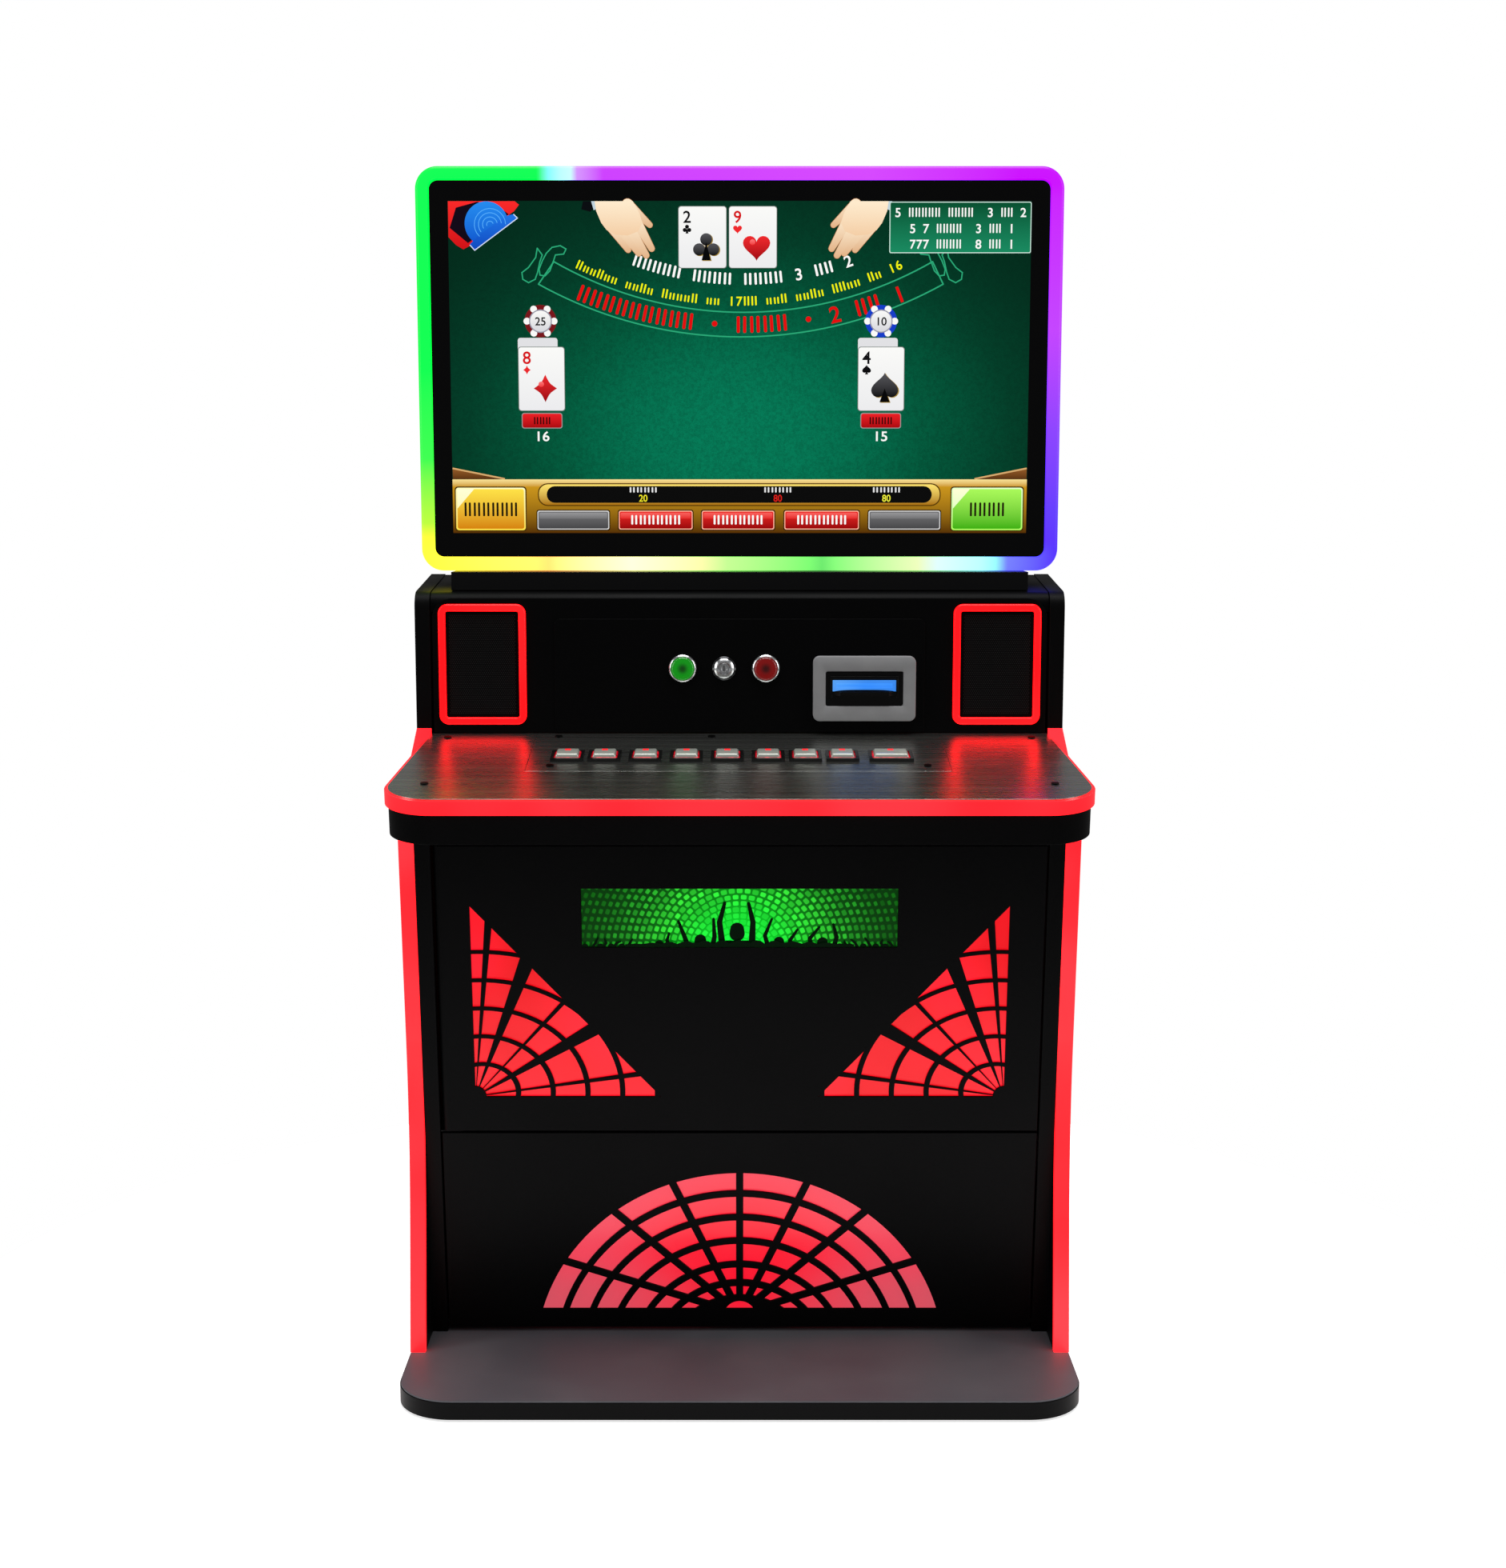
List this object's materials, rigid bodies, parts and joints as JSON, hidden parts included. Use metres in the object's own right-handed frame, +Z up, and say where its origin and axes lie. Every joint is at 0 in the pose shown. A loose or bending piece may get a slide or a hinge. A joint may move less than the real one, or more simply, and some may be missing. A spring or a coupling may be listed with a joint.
{
  "type": "video gaming cabinet",
  "caption": "Upright video gaming cabinet with a wide touch monitor in a lit frame, a sloping button deck, a bill acceptor and lit web-cut doors.",
  "frame": {"origin": "centre of the cabinet's overall footprint, on the floor", "axes": "+Z up, -Y towards the player, +X to the right of someone facing the screen"},
  "size_m": [0.798, 0.537, 1.4385],
  "materials": {
    "rubber_feet": "matte",
    "black_board": "satin laminate",
    "grey_tread": "satin",
    "black_steel": "satin",
    "plinth_black": "satin",
    "red_light": "translucent, lit from behind",
    "pink_light": "translucent, lit from behind",
    "banner_light": "printed film, lit from behind",
    "halo_light": "translucent, lit in changing colours",
    "slot_light": "translucent, lit from behind",
    "green_lens": "translucent, lit",
    "red_lens": "translucent, lit",
    "chrome_trim": "polished",
    "deck_steel": "brushed",
    "fixings": "machined",
    "grey_plastic": "satin",
    "black_plastic": "satin",
    "grille_mesh": "satin perforated sheet",
    "key_caps": "smoked, glossy",
    "screen_glass": "polished",
    "panel_electronics": "display module",
    "unit_cases": "sheet metal"
  },
  "bodies": {
    "cabinet": {"base_feet": "rubber_feet", "base_plate": "black_board", "side_panel_left": "black_board", "side_panel_right": "black_board", "back_panel": "black_board", "base_tread": "grey_tread", "door_posts": "black_steel", "cross_rails": "black_steel", "head_cover": "black_steel", "head_front": "black_steel", "monitor_housing": "black_steel", "monitor_bracket": "black_steel", "deck_tray": "black_steel", "control_plate": "black_steel", "plinth": "plinth_black", "edge_light_left": "red_light", "edge_light_right": "red_light", "speaker_lights": "red_light", "deck_edge_light": "red_light", "monitor_halo": "halo_light", "bill_slot_light": "slot_light", "push_button_bodies": "chrome_trim", "key_lock_body": "chrome_trim", "deck_top": "deck_steel", "button_plate": "deck_steel", "hinge_hardware": "fixings", "deck_screws": "fixings", "bill_bezel": "grey_plastic", "bill_mouth": "black_plastic", "bill_validator": "black_plastic", "deck_button_housings": "black_plastic", "power_inlet": "black_plastic", "speaker_drivers": "black_plastic", "speaker_grilles": "grille_mesh", "touch_glass": "screen_glass", "lcd_module": "panel_electronics", "computer_box": "unit_cases", "power_supply": "unit_cases"},
    "upper_door": {"upper_door": "black_steel", "upper_door_diffusers": "pink_light", "banner_panel": "banner_light"},
    "lower_door": {"lower_door": "black_steel", "lower_door_diffuser": "pink_light"},
    "rear_door": {"rear_door": "black_board", "fan_frame": "black_plastic"},
    "fan_rotor": {"fan_rotor": "black_plastic"},
    "power_rocker": {"power_rocker": "black_plastic"},
    "bill_stacker": {"bill_stacker": "black_plastic"},
    "green_button": {"green_button": "green_lens"},
    "red_button": {"red_button": "red_lens"},
    "key_plug": {"key_plug": "chrome_trim"},
    "deck_button_1": {"deck_button_1": "key_caps"},
    "deck_button_2": {"deck_button_2": "key_caps"},
    "deck_button_3": {"deck_button_3": "key_caps"},
    "deck_button_4": {"deck_button_4": "key_caps"},
    "deck_button_5": {"deck_button_5": "key_caps"},
    "deck_button_6": {"deck_button_6": "key_caps"},
    "deck_button_7": {"deck_button_7": "key_caps"},
    "deck_button_8": {"deck_button_8": "key_caps"},
    "deck_button_9": {"deck_button_9": "key_caps"}
  },
  "joints": [
    {"name": "upper_door_swing", "type": "hinge", "parent": "cabinet", "child": "upper_door", "pos_m": [-0.348, -0.10718, 0.4627], "axis": [0, 0.1219, -0.9925], "range_deg": [0, 95]},
    {"name": "lower_door_drop", "type": "hinge", "parent": "cabinet", "child": "lower_door", "pos_m": [0, -0.0549, 0.03689], "axis": [1, 0, 0], "range_deg": [0, 80]},
    {"name": "rear_door_swing", "type": "hinge", "parent": "cabinet", "child": "rear_door", "pos_m": [-0.33, 0.262, 0.385], "axis": [0, 0, 1], "range_deg": [0, 110]},
    {"name": "fan_spin", "type": "hinge", "parent": "rear_door", "child": "fan_rotor", "pos_m": [0.18, 0.229, 0.52], "axis": [0, 1, 0], "continuous": true},
    {"name": "power_rocker_tilt", "type": "hinge", "parent": "cabinet", "child": "power_rocker", "pos_m": [0.25, 0.255, 0.0905], "axis": [0, 0, 1], "range_deg": [0, 24]},
    {"name": "bill_stacker_slide", "type": "slide", "parent": "cabinet", "child": "bill_stacker", "axis": [0, 0, -1], "range_m": [0, 0.06]},
    {"name": "green_button_press", "type": "slide", "parent": "cabinet", "child": "green_button", "axis": [0, 1, 0], "range_m": [0, 0.003], "stiffness_N_per_m": 400, "springref_m": -0.003},
    {"name": "red_button_press", "type": "slide", "parent": "cabinet", "child": "red_button", "axis": [0, 1, 0], "range_m": [0, 0.003], "stiffness_N_per_m": 400, "springref_m": -0.003},
    {"name": "key_turn", "type": "hinge", "parent": "cabinet", "child": "key_plug", "pos_m": [-0.019, 0.0335, 0.8343], "axis": [0, 1, 0], "range_deg": [0, 90]},
    {"name": "deck_button_1_press", "type": "slide", "parent": "cabinet", "child": "deck_button_1", "axis": [0, 0.1414, -0.9899], "range_m": [0, 0.0035], "stiffness_N_per_m": 400, "springref_m": -0.003},
    {"name": "deck_button_2_press", "type": "slide", "parent": "cabinet", "child": "deck_button_2", "axis": [0, 0.1414, -0.9899], "range_m": [0, 0.0035], "stiffness_N_per_m": 400, "springref_m": -0.003},
    {"name": "deck_button_3_press", "type": "slide", "parent": "cabinet", "child": "deck_button_3", "axis": [0, 0.1414, -0.9899], "range_m": [0, 0.0035], "stiffness_N_per_m": 400, "springref_m": -0.003},
    {"name": "deck_button_4_press", "type": "slide", "parent": "cabinet", "child": "deck_button_4", "axis": [0, 0.1414, -0.9899], "range_m": [0, 0.0035], "stiffness_N_per_m": 400, "springref_m": -0.003},
    {"name": "deck_button_5_press", "type": "slide", "parent": "cabinet", "child": "deck_button_5", "axis": [0, 0.1414, -0.9899], "range_m": [0, 0.0035], "stiffness_N_per_m": 400, "springref_m": -0.003},
    {"name": "deck_button_6_press", "type": "slide", "parent": "cabinet", "child": "deck_button_6", "axis": [0, 0.1414, -0.9899], "range_m": [0, 0.0035], "stiffness_N_per_m": 400, "springref_m": -0.003},
    {"name": "deck_button_7_press", "type": "slide", "parent": "cabinet", "child": "deck_button_7", "axis": [0, 0.1414, -0.9899], "range_m": [0, 0.0035], "stiffness_N_per_m": 400, "springref_m": -0.003},
    {"name": "deck_button_8_press", "type": "slide", "parent": "cabinet", "child": "deck_button_8", "axis": [0, 0.1414, -0.9899], "range_m": [0, 0.0035], "stiffness_N_per_m": 400, "springref_m": -0.003},
    {"name": "deck_button_9_press", "type": "slide", "parent": "cabinet", "child": "deck_button_9", "axis": [0, 0.1414, -0.9899], "range_m": [0, 0.0035], "stiffness_N_per_m": 400, "springref_m": -0.003}
  ]
}
